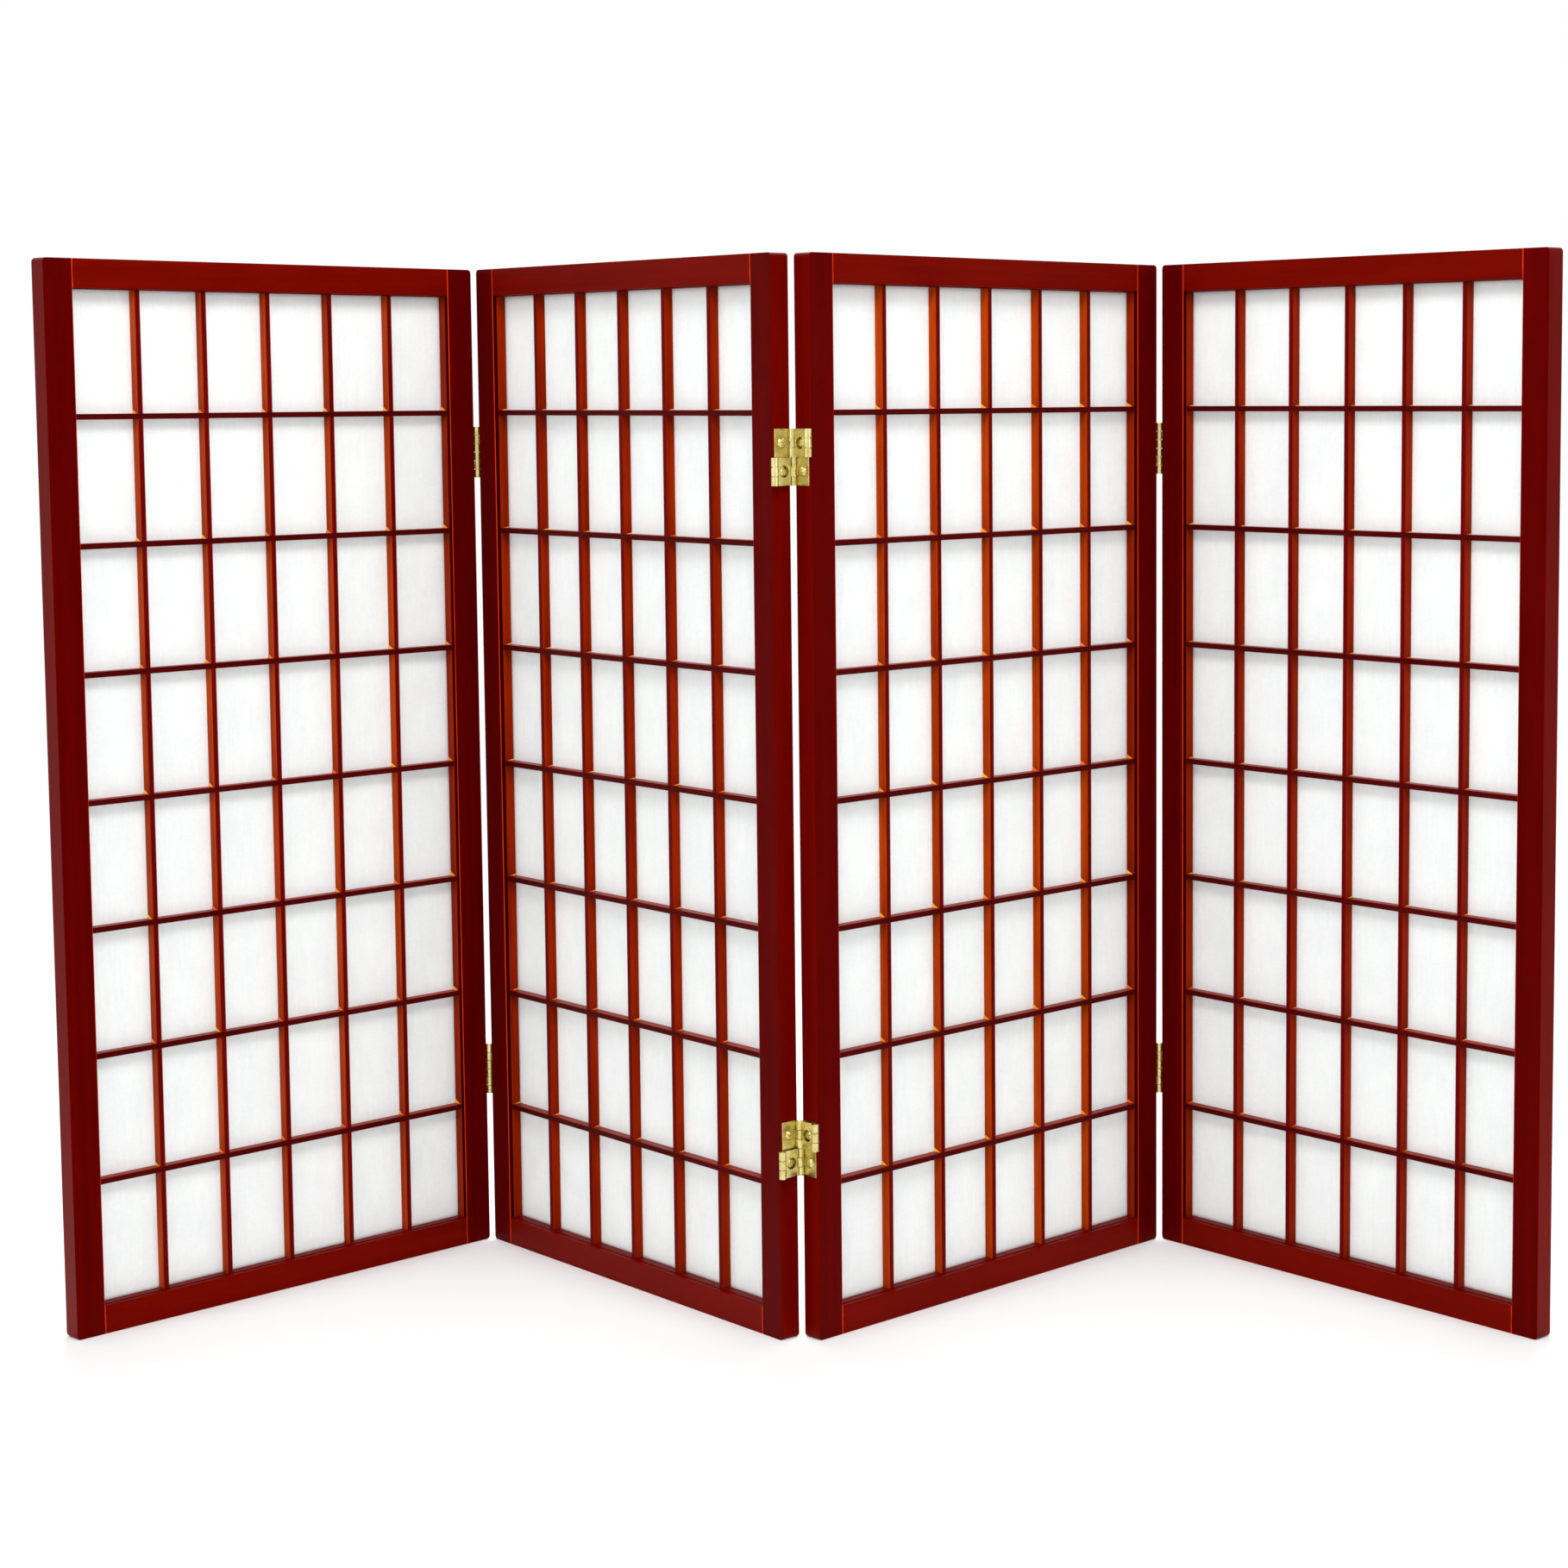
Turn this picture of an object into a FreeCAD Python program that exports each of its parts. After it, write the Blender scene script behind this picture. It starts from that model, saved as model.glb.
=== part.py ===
"""Four-panel shoji folding screen, standing in a zigzag.

Millimetres, +Z up, front faces towards -Y. Each panel is a frame of two full-height stiles
and two tenoned rails. A lattice of half-lapped bars in a slim edging sits in a groove of
the frame, with one sheet of paper glued to its back. Crossed-link hinges join the panels:
each has a plate on either stile, two half-height links between them, and four pins.
"""
import FreeCAD, Part
import os
from math import cos, pi, radians, sin

# Panel frame
PANEL_COUNT = 4
PANEL_WIDTH = 431.8
PANEL_HEIGHT = 914.4
FRAME_THICKNESS = 19.0
STILE_WIDTH = 26.4
RAIL_HEIGHT = 24.6
STILE_END_RADIUS = 3.5
TENON_LENGTH = 14.0
TENON_THICKNESS = 6.0
TENON_SHOULDER = 4.0
TENON_CLEARANCE = 0.1
MORTISE_EXTRA_DEPTH = 1.0

# Lattice and paper
COLUMNS = 6
ROWS = 8
BAR_WIDTH = 4.8
BAR_DEPTH = 7.5
LATTICE_RECESS = 5.75
EDGING_THICKNESS = 2.8
GROOVE_DEPTH = 2.0
PAPER_THICKNESS = 0.25

# Pose of the zigzag: heading of each panel from +X, in degrees
PANEL_HEADINGS = [46.6, -46.3, 46.3, -45.7]

# Face whose barrels each pair of neighbours turns about, from the first pair on
PIVOT_FACES = ["front", "back", "front"]

# Hinges
PANEL_GAP = 6.8
HINGE_HEIGHT = 47.5
HINGE_FROM_TOP = 168.0
HINGE_FROM_BOTTOM = 164.0
LEAF_THICKNESS = 1.2
BARREL_RADIUS = 3.2
PIN_RADIUS = 1.9
PIN_CLEARANCE = 0.06
KNUCKLE_GAP = 0.3
LEAF_CLEARANCE = 0.3
KNUCKLES_PER_BARREL = 3

# Screws through the hinge plates
SCREW_HEAD_RADIUS = 2.9
SCREW_CROWN_RADIUS = 1.8
SCREW_HEAD_HEIGHT = 1.6
SCREW_SHANK_RADIUS = 1.3
SCREW_LENGTH = 14.0
SCREW_HOLE_CLEARANCE = 0.15
LINK_HOLE_CLEARANCE = 0.7

# Small round parts are drawn with this many flats
BARREL_FLATS = 8
PIN_FLATS = 6

Vector = FreeCAD.Vector
UP = Vector(0, 0, 1)
ALONG = Vector(1, 0, 0)


def box(across, deep, high):
    """A block between two values across the panel, two in depth and two in height."""
    size = [end - start for start, end in (across, deep, high)]
    return Part.makeBox(*size, Vector(across[0], deep[0], high[0]))


def prism(radius, flats, base, axis, length, top_radius=None):
    """A regular prism, or a tapered one, standing on base along axis."""
    side = ALONG if abs(axis.dot(UP)) > 0.5 else UP
    other = axis.cross(side)

    def ring(size, centre):
        turns = [2 * pi * (step + 0.5) / flats for step in range(flats + 1)]
        corners = [centre + side * (size * cos(turn)) + other * (size * sin(turn)) for turn in turns]
        return Part.makePolygon(corners[:-1] + corners[:1])

    if top_radius is None:
        return Part.Face(ring(radius, base)).extrude(axis * length)
    return Part.makeLoft([ring(radius, base), ring(top_radius, base + axis * length)], True, True)


def round_radius(inner, flats):
    """Radius at the corners of a hole whose flats clear a round of the inner radius."""
    return inner / cos(pi / flats)


def fuse(solids):
    """One clean solid from several that meet."""
    return solids[0].multiFuse(solids[1:]).removeSplitter()


# ---- wooden frame -------------------------------------------------------------------

LATTICE_BACK = LATTICE_RECESS + BAR_DEPTH
INNER_SIDE = STILE_WIDTH - GROOVE_DEPTH + EDGING_THICKNESS
INNER_END = RAIL_HEIGHT - GROOVE_DEPTH + EDGING_THICKNESS


def inset_box(side, end, deep):
    """A block that keeps side from the panel's edges and end from its top and bottom."""
    return box((side, PANEL_WIDTH - side), deep, (end, PANEL_HEIGHT - end))


def groove_space():
    """The room that the edging and the paper take up inside the frame."""
    deep = (LATTICE_RECESS, LATTICE_BACK + PAPER_THICKNESS)
    return inset_box(STILE_WIDTH - GROOVE_DEPTH, RAIL_HEIGHT - GROOVE_DEPTH, deep)


def tenon(start, end, low, high, clearance=0.0):
    """A tenon between two values across, or with a clearance the room cut for it."""
    middle = FRAME_THICKNESS / 2
    half = TENON_THICKNESS / 2 + clearance
    heights = (low + TENON_SHOULDER - clearance, high - TENON_SHOULDER + clearance)
    return box((start, end), (middle - half, middle + half), heights)


def rail_heights(name):
    """Bottom and top of a rail."""
    if name == "bottom_rail":
        return 0.0, RAIL_HEIGHT
    return PANEL_HEIGHT - RAIL_HEIGHT, PANEL_HEIGHT


def rail(name):
    """A rail between the stiles, with a tenon at each end, grooved on its inner edge."""
    low, high = rail_heights(name)
    body = box((STILE_WIDTH, PANEL_WIDTH - STILE_WIDTH), (0, FRAME_THICKNESS), (low, high))
    left = tenon(STILE_WIDTH - TENON_LENGTH, STILE_WIDTH, low, high)
    right_start = PANEL_WIDTH - STILE_WIDTH
    right = tenon(right_start, right_start + TENON_LENGTH, low, high)
    return fuse([body, left, right]).cut(groove_space())


def stile(side):
    """A full-height stile with rounded outer ends, two mortises and the groove."""
    start = 0.0 if side == "left" else PANEL_WIDTH - STILE_WIDTH
    body = box((start, start + STILE_WIDTH), (0, FRAME_THICKNESS), (0, PANEL_HEIGHT))
    outer = 0.0 if side == "left" else PANEL_WIDTH

    def is_outer_end(edge):
        at_outer_side = all(abs(corner.X - outer) < 1e-6 for corner in edge.Vertexes)
        return at_outer_side and abs(edge.Vertexes[0].Z - edge.Vertexes[1].Z) < 1e-6

    ends = [edge for edge in body.Edges if is_outer_end(edge)]
    body = body.makeFillet(STILE_END_RADIUS, ends)
    depth = TENON_LENGTH + MORTISE_EXTRA_DEPTH
    inner = STILE_WIDTH if side == "left" else PANEL_WIDTH - STILE_WIDTH
    reach = (inner - depth, inner) if side == "left" else (inner, inner + depth)
    for name in ("bottom_rail", "top_rail"):
        low, high = rail_heights(name)
        body = body.cut(tenon(*reach, low, high, TENON_CLEARANCE))
    return body.cut(groove_space())


# ---- lattice and paper --------------------------------------------------------------

def bar_starts(inner_edge, overall, cells):
    """Where each inner bar starts, so that all the cells are the same size."""
    clear = overall - 2 * inner_edge - (cells - 1) * BAR_WIDTH
    cell = clear / cells
    return [inner_edge + cell * (i + 1) + BAR_WIDTH * i for i in range(cells - 1)]


UPRIGHT_STARTS = bar_starts(INNER_SIDE, PANEL_WIDTH, COLUMNS)
CROSSBAR_STARTS = bar_starts(INNER_END, PANEL_HEIGHT, ROWS)
LAP_DEPTH = LATTICE_RECESS + BAR_DEPTH / 2


def lattice_uprights():
    """Vertical bars, notched at the front where the crossbars pass."""
    bars = []
    for start in UPRIGHT_STARTS:
        across = (start, start + BAR_WIDTH)
        bar = box(across, (LATTICE_RECESS, LATTICE_BACK), (INNER_END, PANEL_HEIGHT - INNER_END))
        notches = [box(across, (LATTICE_RECESS, LAP_DEPTH), (low, low + BAR_WIDTH))
                   for low in CROSSBAR_STARTS]
        bars.append(bar.cut(Part.makeCompound(notches)))
    return Part.makeCompound(bars)


def lattice_crossbars():
    """Horizontal bars, notched at the back where they lap over the uprights."""
    bars = []
    for low in CROSSBAR_STARTS:
        high = (low, low + BAR_WIDTH)
        bar = box((INNER_SIDE, PANEL_WIDTH - INNER_SIDE), (LATTICE_RECESS, LATTICE_BACK), high)
        notches = [box((start, start + BAR_WIDTH), (LAP_DEPTH, LATTICE_BACK), high)
                   for start in UPRIGHT_STARTS]
        bars.append(bar.cut(Part.makeCompound(notches)))
    return Part.makeCompound(bars)


def lattice_edging():
    """Four slim strips round the lattice, let into the groove of the frame."""
    side = STILE_WIDTH - GROOVE_DEPTH
    end = RAIL_HEIGHT - GROOVE_DEPTH
    deep = (LATTICE_RECESS, LATTICE_BACK)
    strips = []
    for start in (side, PANEL_WIDTH - side - EDGING_THICKNESS):
        strips.append(box((start, start + EDGING_THICKNESS), deep, (end, PANEL_HEIGHT - end)))
    for low in (end, PANEL_HEIGHT - end - EDGING_THICKNESS):
        strips.append(box((INNER_SIDE, PANEL_WIDTH - INNER_SIDE), deep, (low, low + EDGING_THICKNESS)))
    return Part.makeCompound(strips)


def paper():
    """One sheet glued to the back of the lattice, its edge held in the groove."""
    deep = (LATTICE_BACK, LATTICE_BACK + PAPER_THICKNESS)
    return inset_box(STILE_WIDTH - GROOVE_DEPTH, RAIL_HEIGHT - GROOVE_DEPTH, deep)


# ---- hinge, drawn at its own centre line ----------------------------------------------
# Here X runs from the left stile's side face to the right one's and Y is the panel's depth.
# The barrels' axes are at X = 0, on the planes of the front and back faces.

HINGE_LINES = [(index + 1, index + 2, face) for index, face in enumerate(PIVOT_FACES)]
HALF_HEIGHT = HINGE_HEIGHT / 2
FACE_X = PANEL_GAP / 2
KNUCKLE_PITCH = HALF_HEIGHT / KNUCKLES_PER_BARREL
HINGE_CENTRES = [PANEL_HEIGHT - HINGE_FROM_TOP, HINGE_FROM_BOTTOM]
BARREL_Y = {"front": 0.0, "back": FRAME_THICKNESS}
SCREW_Y = FRAME_THICKNESS / 2
RUNNING_BORE = round_radius(PIN_RADIUS + PIN_CLEARANCE, PIN_FLATS)


def knuckle_heights(half, index):
    """Bottom and top of one knuckle in the upper or lower half, from the hinge's centre."""
    low = (0.0 if half == "upper" else -HALF_HEIGHT) + index * KNUCKLE_PITCH
    return low + KNUCKLE_GAP / 2, low + KNUCKLE_PITCH - KNUCKLE_GAP / 2


def screw_heights():
    """One screw at the middle of each half."""
    return [-HALF_HEIGHT / 2, HALF_HEIGHT / 2]


def barrel(face, half, index, bore_radius):
    """A knuckle, and the tool that bores it."""
    low, high = knuckle_heights(half, index)
    base = Vector(0, BARREL_Y[face], low)
    outside = prism(BARREL_RADIUS, BARREL_FLATS, base, UP, high - low)
    bore = prism(bore_radius, PIN_FLATS, base, UP, high - low)
    return outside, bore


def plate():
    """The left stile's plate: its upper knuckle is at the back and its lower at the front."""
    thick = (-FACE_X, -FACE_X + LEAF_THICKNESS)
    margin = BARREL_RADIUS
    leaf = box(thick, (margin, FRAME_THICKNESS - margin), (-HALF_HEIGHT, HALF_HEIGHT))
    bodies, tools = [leaf], []
    for half, face in (("upper", "back"), ("lower", "front")):
        outside, bore = barrel(face, half, 1, RUNNING_BORE)
        low, high = knuckle_heights(half, 1)
        middle = BARREL_Y[face]
        reach = (middle, margin) if face == "front" else (FRAME_THICKNESS - margin, middle)
        bodies += [outside, box(thick, reach, (low, high))]
        tools.append(bore)
    hole = SCREW_SHANK_RADIUS + SCREW_HOLE_CLEARANCE
    for height in screw_heights():
        base = Vector(thick[0], SCREW_Y, height)
        tools.append(prism(hole, PIN_FLATS, base, ALONG, LEAF_THICKNESS))
    return fuse(bodies).cut(Part.makeCompound(tools))


def link(half):
    """A half-height link with two knuckles at each face and a hole round the screw heads."""
    web = (-LEAF_THICKNESS / 2, LEAF_THICKNESS / 2)
    inner = BARREL_RADIUS + LEAF_CLEARANCE
    bottom, top = knuckle_heights(half, 0)[0], knuckle_heights(half, KNUCKLES_PER_BARREL - 1)[1]
    bodies = [box(web, (inner, FRAME_THICKNESS - inner), (bottom, top))]
    tools = []
    for index in (0, KNUCKLES_PER_BARREL - 1):
        low, high = knuckle_heights(half, index)
        bodies.append(box(web, (0, FRAME_THICKNESS), (low, high)))
        for face in ("front", "back"):
            outside, bore = barrel(face, half, index, PIN_RADIUS)
            bodies.append(outside)
            tools.append(bore)
    height = HALF_HEIGHT / 2 if half == "upper" else -HALF_HEIGHT / 2
    base = Vector(web[0], SCREW_Y, height)
    hole = round_radius(SCREW_HEAD_RADIUS + LINK_HOLE_CLEARANCE, BARREL_FLATS)
    tools.append(prism(hole, BARREL_FLATS, base, ALONG, LEAF_THICKNESS))
    return fuse(bodies).cut(Part.makeCompound(tools))


def pins(half):
    """The front and back pins of one half, as long as its barrels."""
    low, high = knuckle_heights(half, 0)[0], knuckle_heights(half, KNUCKLES_PER_BARREL - 1)[1]
    return [prism(PIN_RADIUS, PIN_FLATS, Vector(0, BARREL_Y[face], low), UP, high - low)
            for face in ("front", "back")]


def screws():
    """The left plate's screws: a low round head on the plate and a shank into the stile."""
    solids = []
    for height in screw_heights():
        seat = Vector(-FACE_X + LEAF_THICKNESS, SCREW_Y, height)
        head = prism(SCREW_HEAD_RADIUS, PIN_FLATS, seat, ALONG, SCREW_HEAD_HEIGHT, SCREW_CROWN_RADIUS)
        shank = prism(SCREW_SHANK_RADIUS, PIN_FLATS, seat, ALONG * -1, SCREW_LENGTH)
        solids.append(head.fuse(shank))
    return solids


def to_right(solid):
    """The same piece for the right panel: half a turn about the hinge's upright centre."""
    turned = solid.copy()
    turned.rotate(Vector(0, FRAME_THICKNESS / 2, 0), UP, 180)
    return turned


def at_hinges(solids, side):
    """Copies of a hinge's solids at each hinge height, on a panel's left or right edge."""
    centre = -FACE_X if side == "left" else PANEL_WIDTH + FACE_X
    copies = []
    for height in HINGE_CENTRES:
        for solid in solids:
            copy = solid.copy()
            copy.translate(Vector(centre, 0, height))
            copies.append(copy)
    return Part.makeCompound(copies)


# ---- assembly -------------------------------------------------------------------------

def panel_places():
    """Front left corner and heading of each panel, chained through the hinge axes."""
    places = [(Vector(0, 0, 0), PANEL_HEADINGS[0])]
    for (left, _, face), heading in zip(HINGE_LINES, PANEL_HEADINGS[1:]):
        corner, previous = places[left - 1]
        old = FreeCAD.Rotation(UP, previous)
        new = FreeCAD.Rotation(UP, heading)
        axis = corner + old.multVec(Vector(PANEL_WIDTH + FACE_X, BARREL_Y[face], 0))
        places.append((axis - new.multVec(Vector(-FACE_X, BARREL_Y[face], 0)), heading))
    return places


def place(shape, panel):
    """Move a shape from its panel's own frame to the zigzag."""
    corner, heading = panel_places()[panel - 1]
    moved = shape.copy()
    moved.rotate(Vector(0, 0, 0), UP, heading)
    moved.translate(corner)
    return moved


def link_riders(left, right, face):
    """The panel that the upper and the lower links stay with as the pair turns."""
    return (left, right) if face == "front" else (right, left)


def pilot_holes(panel, side):
    """Shanks to cut from a stile, if a hinge is screwed to that side of the panel."""
    hinged = [left if side == "right" else right for left, right, _ in HINGE_LINES]
    if panel not in hinged:
        return None
    tools = screws() if side == "right" else [to_right(solid) for solid in screws()]
    return at_hinges(tools, side)


def build_panel(panel):
    """All the wooden pieces and the paper of one panel."""
    pieces = {"top_rail": rail("top_rail"), "bottom_rail": rail("bottom_rail")}
    for side in ("left", "right"):
        body = stile(side)
        holes = pilot_holes(panel, side)
        pieces[side + "_stile"] = body if holes is None else body.cut(holes)
    pieces["lattice_uprights"] = lattice_uprights()
    pieces["lattice_crossbars"] = lattice_crossbars()
    pieces["lattice_edging"] = lattice_edging()
    pieces["paper"] = paper()
    return {"panel_%d_%s" % (panel, name): place(shape, panel) for name, shape in pieces.items()}


def build_hinge_line(left, right, face):
    """The two hinges between a pair of panels, with like pieces grouped."""
    upper, lower = link_riders(left, right, face)
    stem = "hinge_%d%d_" % (left, right)
    pieces = {
        "left_plates": place(at_hinges([plate()], "right"), left),
        "right_plates": place(at_hinges([to_right(plate())], "left"), right),
        "left_screws": place(at_hinges(screws(), "right"), left),
        "right_screws": place(at_hinges([to_right(s) for s in screws()], "left"), right),
    }
    for half, rider in (("upper", upper), ("lower", lower)):
        side = "right" if rider == left else "left"
        pieces[half + "_links"] = place(at_hinges([link(half)], side), rider)
        pieces[half + "_pins"] = place(at_hinges(pins(half), side), rider)
    return {stem + name: shape for name, shape in pieces.items()}


def build_screen():
    """Every node, with the origin under the middle of the whole screen."""
    nodes = {}
    for panel in range(1, PANEL_COUNT + 1):
        nodes.update(build_panel(panel))
    for line in HINGE_LINES:
        nodes.update(build_hinge_line(*line))
    bounds = Part.makeCompound(list(nodes.values())).BoundBox
    centre = Vector(bounds.Center.x, bounds.Center.y, bounds.ZMin)
    for shape in nodes.values():
        shape.translate(centre * -1)
    return nodes, centre


nodes, screen_centre = build_screen()
os.makedirs("parts", exist_ok=True)
for name, shape in nodes.items():
    shape.exportStep("parts/%s.step" % name)
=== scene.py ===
"""A four-panel folding screen of lacquered wood, paper and brass, in a plain white studio."""
from math import cos, pi, radians, sin

import bmesh
import bpy
from mathutils import Matrix, Vector


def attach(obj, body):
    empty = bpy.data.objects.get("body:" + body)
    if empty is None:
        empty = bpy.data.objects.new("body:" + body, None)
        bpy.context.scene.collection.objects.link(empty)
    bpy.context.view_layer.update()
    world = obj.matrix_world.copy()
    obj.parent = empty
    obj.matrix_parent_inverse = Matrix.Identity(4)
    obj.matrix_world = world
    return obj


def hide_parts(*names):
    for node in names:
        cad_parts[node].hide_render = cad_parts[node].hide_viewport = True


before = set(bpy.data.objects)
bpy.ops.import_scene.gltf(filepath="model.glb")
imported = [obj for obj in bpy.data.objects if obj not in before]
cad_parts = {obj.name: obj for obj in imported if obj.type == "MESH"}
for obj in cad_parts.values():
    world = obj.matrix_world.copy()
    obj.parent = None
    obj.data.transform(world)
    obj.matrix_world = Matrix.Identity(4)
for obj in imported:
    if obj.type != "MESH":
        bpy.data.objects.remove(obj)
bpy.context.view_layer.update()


# ---- Camera --------------------------------------------------------------------------
# A long lens stands just below the height of the screen's top and a little to its right.
# The photograph is a crop from the left of a wider frame. The shift allows for part of
# that: the whole of it would push the screen out of frame in every other view.
camera_place = (0.18820, -2.65595, 0.79838)
turned_left = radians(1.2787)
tilted_down = radians(5.1758)
rolled = radians(-0.3399)
camera_data = bpy.data.cameras.new("camera")
camera_data.sensor_width = 36.0
camera_data.lens = 69.403
camera_data.shift_x = -0.11001
camera_data.shift_y = -0.07468
camera_data.clip_end = 60.0
camera = bpy.data.objects.new("camera", camera_data)
camera.matrix_world = (
    Matrix.Translation(camera_place)
    @ Matrix.Rotation(turned_left, 4, "Z")
    @ Matrix.Rotation(pi / 2 - tilted_down, 4, "X")
    @ Matrix.Rotation(rolled, 4, "Z")
)
bpy.context.scene.collection.objects.link(camera)
bpy.context.scene.camera = camera
bpy.context.scene.view_settings.view_transform = "Standard"


# ---- Studio --------------------------------------------------------------------------
# A matt white floor runs away to a white room, so only a faint shadow shows on it.
# Softboxes hang overhead in front, behind and on either side, and the room fills in.
floor_half_size = 4.0
floor_fades_from = 0.9
floor_fades_to = 1.7
room_strength = 0.62
backdrop_strength = 1.0


def to_linear(hex_colour):
    """A colour for a socket, from its sRGB hex value."""
    channels = [int(hex_colour[start:start + 2], 16) / 255 for start in (1, 3, 5)]
    curved = [c / 12.92 if c <= 0.04045 else ((c + 0.055) / 1.055) ** 2.4 for c in channels]
    return (*curved, 1.0)


def add_node(owner, kind, settings=None, inputs=None):
    """Adds a shader node to a material or world, sets its properties, fills or links inputs."""
    tree = owner.node_tree
    node = tree.nodes.new(kind)
    for name, value in (settings or {}).items():
        setattr(node, name, value)
    for name, value in (inputs or {}).items():
        if isinstance(value, bpy.types.NodeSocket):
            tree.links.new(value, node.inputs[name])
        else:
            node.inputs[name].default_value = value
    return node


def new_material(name):
    """An empty material with an output node, and its output's surface socket."""
    material = bpy.data.materials.new(name)
    material.use_nodes = True
    material.node_tree.nodes.clear()
    output = material.node_tree.nodes.new("ShaderNodeOutputMaterial")
    return material, output.inputs["Surface"]


def new_object(name, bm):
    """An object in the scene, made of a mesh that is finished."""
    mesh = bpy.data.meshes.new(name)
    bm.to_mesh(mesh)
    bm.free()
    made = bpy.data.objects.new(name, mesh)
    bpy.context.scene.collection.objects.link(made)
    return made


# The paint fades out into the white room, so the floor has no far edge.
matt_white_paint, surface = new_material("matt_white_floor_paint")
floor_spot = add_node(matt_white_paint, "ShaderNodeTexCoord")
distance = add_node(matt_white_paint, "ShaderNodeVectorMath", {"operation": "LENGTH"}, {
    0: floor_spot.outputs["Object"]})
fade = add_node(matt_white_paint, "ShaderNodeMapRange", {"interpolation_type": "SMOOTHSTEP"}, {
    "Value": distance.outputs["Value"],
    "From Min": floor_fades_from, "From Max": floor_fades_to})
paint = add_node(matt_white_paint, "ShaderNodeBsdfDiffuse", inputs={
    "Color": to_linear("#FDFDFD")})
clear = add_node(matt_white_paint, "ShaderNodeBsdfTransparent")
paint_mix = add_node(matt_white_paint, "ShaderNodeMixShader", inputs={
    0: fade.outputs[0], 1: paint.outputs[0], 2: clear.outputs[0]})
matt_white_paint.node_tree.links.new(paint_mix.outputs[0], surface)
bm = bmesh.new()
bmesh.ops.create_grid(bm, x_segments=1, y_segments=1, size=floor_half_size)
floor = new_object("studio_floor", bm)
floor.data.materials.append(matt_white_paint)

# The camera, reflections and what shows through clear things see a plain white backdrop.
# Everything else is lit by a dimmer room.
world = bpy.data.worlds.new("white_room")
bpy.context.scene.world = world
world.use_nodes = True
world.node_tree.nodes.clear()
seen = add_node(world, "ShaderNodeLightPath")
seen_in_gloss = add_node(world, "ShaderNodeMath", {"operation": "MAXIMUM"}, {
    0: seen.outputs["Is Camera Ray"], 1: seen.outputs["Is Glossy Ray"]})
seen_through = add_node(world, "ShaderNodeMath", {"operation": "MAXIMUM"}, {
    0: seen_in_gloss.outputs[0], 1: seen.outputs["Is Transmission Ray"]})
room_light = add_node(world, "ShaderNodeBackground", inputs={
    "Color": to_linear("#FFFFFF"), "Strength": room_strength})
backdrop = add_node(world, "ShaderNodeBackground", inputs={
    "Color": to_linear("#FFFFFF"), "Strength": backdrop_strength})
room_mix = add_node(world, "ShaderNodeMixShader", inputs={
    0: seen_through.outputs[0], 1: room_light.outputs[0], 2: backdrop.outputs[0]})
add_node(world, "ShaderNodeOutputWorld", inputs={"Surface": room_mix.outputs[0]})

# Each softbox: its name, place, aim, width, height and power in watts.
softboxes = [
    ("softbox_overhead", (0.1, -1.7, 2.4), (0.0, 0.0, 0.40), 0.9, 0.8, 39.0),
    ("softbox_behind", (0.0, 1.7, 2.3), (0.0, 0.55, 0.0), 2.6, 1.4, 78.0),
    ("softbox_left", (-2.6, -1.9, 1.3), (0.0, 0.0, 0.45), 1.0, 1.6, 10.0),
    ("softbox_right", (2.6, -1.9, 1.3), (0.0, 0.0, 0.45), 1.0, 1.6, 10.0),
]
for name, place, aim, width, height, watts in softboxes:
    light_data = bpy.data.lights.new(name, "AREA")
    light_data.shape = "RECTANGLE"
    light_data.size = width
    light_data.size_y = height
    light_data.energy = watts
    light = bpy.data.objects.new(name, light_data)
    facing_aim = (Vector(place) - Vector(aim)).to_track_quat("Z", "Y")
    light.matrix_world = Matrix.Translation(place) @ facing_aim.to_matrix().to_4x4()
    bpy.context.scene.collection.objects.link(light)


# ---- Stiles --------------------------------------------------------------------------
# Two full-height uprights of a light softwood, stained deep red and lacquered, carry each
# panel. Their outer ends are rounded over and every arris is eased by sanding.
panel_numbers = (1, 2, 3, 4)
panel_width = 0.4318
panel_height = 0.9144
frame_thickness = 0.019
stile_width = 0.0264
stile_end_radius = 0.0035
arris = 0.0005
# Each panel's front left foot, and the way that the panel runs from it, in degrees.
panel_places = {
    1: (-0.618139, -0.164287, 46.6),
    2: (-0.316770, 0.149460, -46.3),
    3: (0.013724, -0.162717, 46.3),
    4: (0.316770, 0.149485, -45.7),
}
# Points nearer than this are at one place. A face looks along an axis if the cosine of the
# angle between them is above the second value.
same_place = 1e-6
facing = 0.7
# From part to part of a piece, the next length of board starts this far along and across.
# For each unit of the sum of the name's letters, it starts this far along and deeper in.
part_along, part_across = 0.37, 0.13
name_along, name_deeper = 0.011, 0.07


def add_box(bm, low, high):
    """A sharp box between two corners. Returns its edges."""
    size = [b - a for a, b in zip(low, high)]
    middle = [(a + b) / 2 for a, b in zip(low, high)]
    box = bmesh.ops.create_cube(
        bm, size=1.0, matrix=Matrix.LocRotScale(Vector(middle), None, Vector(size)))
    return list(dict.fromkeys(edge for vert in box["verts"] for edge in vert.link_edges))


def ease(bm, edges, offset, segments):
    """Rounds edges over."""
    bmesh.ops.bevel(bm, geom=edges, offset=offset, offset_type="OFFSET", segments=segments,
                    profile=0.5, affect="EDGES", material=-1)


def add_block(bm, low, high, eased=arris):
    """A box between two corners, with its arrises eased."""
    ease(bm, add_box(bm, low, high), eased, 2)


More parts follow.
